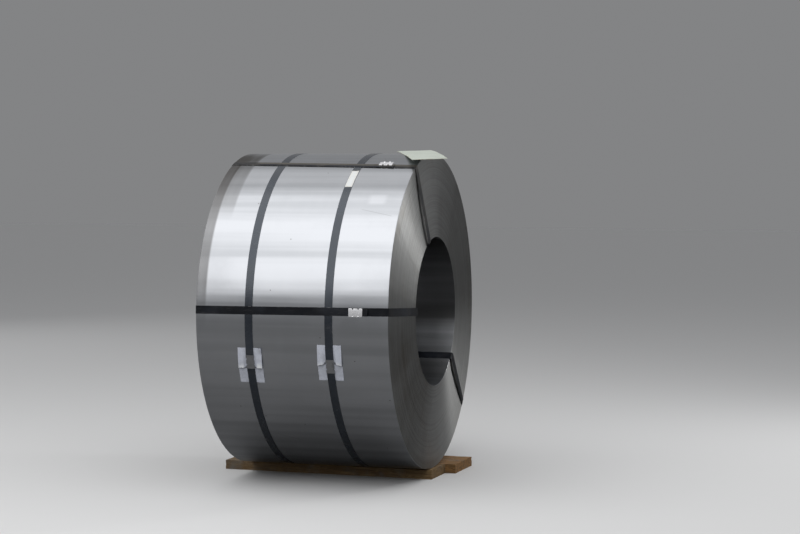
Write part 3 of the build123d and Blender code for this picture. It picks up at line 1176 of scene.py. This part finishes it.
def makeTimber(name, seed, wood):
    material, shader, place = newMaterial(name)
    back = (0, 0, radians(-boards["turn"]))
    turned = addNode("Mapping", {"Vector": place, "Location": (0, seed, 0), "Rotation": back}).outputs[0]
    wave = noiseAt(turned, boards["wave"], "Color")
    bent = addNode("VectorMath", {0: turned, 1: wave}, operation="ADD").outputs[0]
    grain, rings = noiseAt(bent, boards["grain"]), noiseAt(bent, boards["rings"])
    fibre, sawn = noiseAt(turned, boards["fibre"]), noiseAt(turned, boards["sawn"])
    knots = addNode("TexVoronoi", {"Vector": noiseAt(turned, boards["knots"], "Color"),
                                   "Scale": 2.0}).outputs["Distance"]
    colour = tint(wood, boards, (spread(grain, 0.35, 0.65), "dark"),
                  (spread(rings, 0.45, 0.6, 0.0, 0.5), "dark"), (spread(knots, 0.0, 0.06, 0.9, 0.0), "knot"),
                  (dirtAt(turned, 9.0, 0.85), "grey"))
    fill(shader, {
        "Base Color": colour, "Roughness": spread(grain, 0.3, 0.7, 0.68, 0.88), "Specular IOR Level": 0.3,
        "Normal": bump((grain, 0.35, 0.0012), (sawn, 0.25, 0.0008), (fibre, 0.2, 0.0005))})
    return material


def makeBoard(name, node, place, front):
    size = (boards["length"], place["width"], boards["thickness"])
    centre = (place["rightEnd"] - size[0] / 2, front + size[1] / 2, size[2] / 2)
    piece = block(name, size, centre)
    for axis, cuts in enumerate(boards["cuts"]):
        subdivideWhere(piece, lambda first, last: abs(first[axis] - last[axis]) > size[axis] * 0.9, cuts)
    seed = place["seed"]

    def rough(co):  # sawn faces, with the long edges chipped and the ends a little broken
        out = Vector((co[axis] - centre[axis]) / (size[axis] / 2) for axis in range(3))
        onEdge = ease(abs(out.y), 0.9, 1.0) * ease(abs(out.z), 0.6, 1.0)
        onEnd = ease(abs(out.x), 0.985, 1.0)
        chip = max(0.0, ripple(co.x * 14 + seed, co.y * 3, co.z * 20)) * boards["wane"]
        broken = max(0.0, ripple(seed, co.y * 60, co.z * 90)) * boards["broken"] * onEnd
        saw = abs(ripple(co.x * 40, co.y * 40 + seed, co.z * 40)) * boards["saw"]
        top = ease(co.z, 0.0, boards["thickness"] / 2)  # the underside stays flat on the floor
        down = (chip * onEdge * 0.6 + saw * 0.5) * top * (co.z > 0.03)
        return co - Vector((out.x * broken, out.y * (chip * onEdge + saw), down))

    moveVertices(piece, rough)
    piece.rotation_euler.z = radians(boards["turn"])
    activate(piece)
    applyPlace()
    finishPiece(piece, node, [makeTimber(name + "Timber", seed, place["colour"])], smooth=25)


makeBoard("boardFront", "plank_front", boards["front"], boards["frontEdge"])
makeBoard("boardRear", "plank_rear", boards["rear"],
          boards["frontEdge"] + boards["front"]["width"] + boards["joint"])

# ---- floor, light and camera

studio = {
    "floorColour": (0.17, 0.17, 0.17, 1),
    "seenFloor": (0.70, 0.70, 0.70, 1),  # paler to the camera than in the steel's reflection
    "worldColour": (0.97, 0.98, 1.0, 1),
    "worldStrength": 0.32,
    "seenWorld": 0.234,
    "panels": (              # place, what it faces, size, brightness
        ("panelAbove", (-0.4, -4.2, 3.8), (-0.4, -3.45, -0.2), (9.0, 8.8), 1.25),
        ("panelTop", (-0.4, 1.75, 4.9), (-0.4, 2.5, 0.9), (9.0, 3.3), 0.44),
        ("panelRight", (2.96, 2.03, 1.95), (0.4, -0.2, 0.9), (0.6, 0.6), 19.0),
        ("panelBehind", (-6.0, 5.0, 3.0), (0.0, 0.0, 0.7), (4.0, 2.4), 1.0),
    ),
}
bpy.ops.mesh.primitive_plane_add(size=60, location=(0, 0, 0))
floor = bpy.context.object
floor.name = "floor"
material, shader, place = newMaterial("floorPaint")
seen = addNode("LightPath").outputs["Is Camera Ray"]
fill(shader, {"Base Color": mix(seen, studio["floorColour"], studio["seenFloor"]),
              "Roughness": 0.7, "Specular IOR Level": 0.2})
floor.data.materials.append(material)

world = bpy.data.worlds.new("studio")
bpy.context.scene.world = world
world.use_nodes = True
tree = world.node_tree
backdrop = tree.nodes["Background"]
seen = addNode("LightPath").outputs["Is Camera Ray"]
strength = spread(seen, 0.0, 1.0, studio["worldStrength"], studio["seenWorld"])
fill(backdrop, {"Color": studio["worldColour"], "Strength": strength})


def addPanel(name, place, aim, size, brightness):
    bpy.ops.object.light_add(type="AREA", location=place)
    lamp = bpy.context.object
    lamp.name = name
    lamp.data.shape = "RECTANGLE"
    lamp.data.size, lamp.data.size_y = size
    lamp.data.energy = brightness * pi * size[0] * size[1]
    lamp.rotation_euler = (Vector(aim) - Vector(place)).to_track_quat("-Z", "Y").to_euler()
    lamp.visible_camera = False


for panel in studio["panels"]:
    addPanel(*panel)

camera = {"place": (2.6232, -8.1069, 1.3068), "tilt": 86.996, "turn": 16.315, "lens": 92.5, "sensor": 36.0}
bpy.ops.object.camera_add(location=camera["place"],
                          rotation=(radians(camera["tilt"]), 0, radians(camera["turn"])))
view = bpy.context.object
view.data.lens = camera["lens"]
view.data.sensor_width = camera["sensor"]
bpy.context.scene.camera = view
bpy.context.scene.view_settings.view_transform = "Standard"
print("lit and framed")
